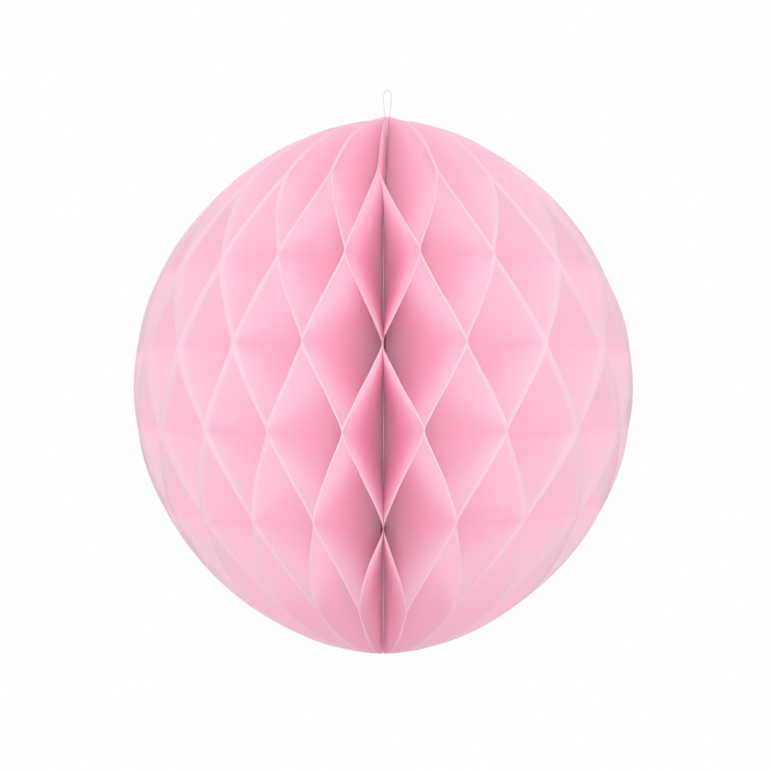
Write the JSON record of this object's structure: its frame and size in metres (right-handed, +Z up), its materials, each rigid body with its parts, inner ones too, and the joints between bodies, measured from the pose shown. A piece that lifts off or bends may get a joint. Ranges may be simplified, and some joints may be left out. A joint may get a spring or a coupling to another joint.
{
  "type": "honeycomb paper ball",
  "caption": "Hanging paper ball of half-disc tissue leaves, glued on alternate lines and fanned round into diamond cells, with a thread loop at the top.",
  "frame": {"origin": "middle of the ball, on its axis and halfway between the poles", "axes": "+Z up the axis towards the thread loop, the front of the ball towards -Y"},
  "size_m": [0.1873, 0.1872, 0.215],
  "materials": {
    "tissue_paper": "matte",
    "bound_paper": "matte",
    "cotton_thread": "matte"
  },
  "bodies": {
    "root": {"leaf_01": "tissue_paper", "leaf_02": "tissue_paper", "leaf_03": "tissue_paper", "leaf_04": "tissue_paper", "leaf_05": "tissue_paper", "leaf_06": "tissue_paper", "leaf_07": "tissue_paper", "leaf_08": "tissue_paper", "leaf_09": "tissue_paper", "leaf_10": "tissue_paper", "leaf_11": "tissue_paper", "leaf_12": "tissue_paper", "leaf_13": "tissue_paper", "leaf_14": "tissue_paper", "leaf_15": "tissue_paper", "leaf_16": "tissue_paper", "leaf_17": "tissue_paper", "leaf_18": "tissue_paper", "leaf_19": "tissue_paper", "leaf_20": "tissue_paper", "leaf_21": "tissue_paper", "leaf_22": "tissue_paper", "leaf_23": "tissue_paper", "leaf_24": "tissue_paper", "leaf_25": "tissue_paper", "leaf_26": "tissue_paper", "leaf_27": "tissue_paper", "leaf_28": "tissue_paper", "leaf_29": "tissue_paper", "leaf_30": "tissue_paper", "leaf_31": "tissue_paper", "leaf_32": "tissue_paper", "leaf_33": "tissue_paper", "leaf_34": "tissue_paper", "leaf_35": "tissue_paper", "leaf_36": "tissue_paper", "leaf_37": "tissue_paper", "leaf_38": "tissue_paper", "leaf_39": "tissue_paper", "leaf_40": "tissue_paper", "spine_binding": "bound_paper", "hanging_thread": "cotton_thread"}
  },
  "joints": []
}
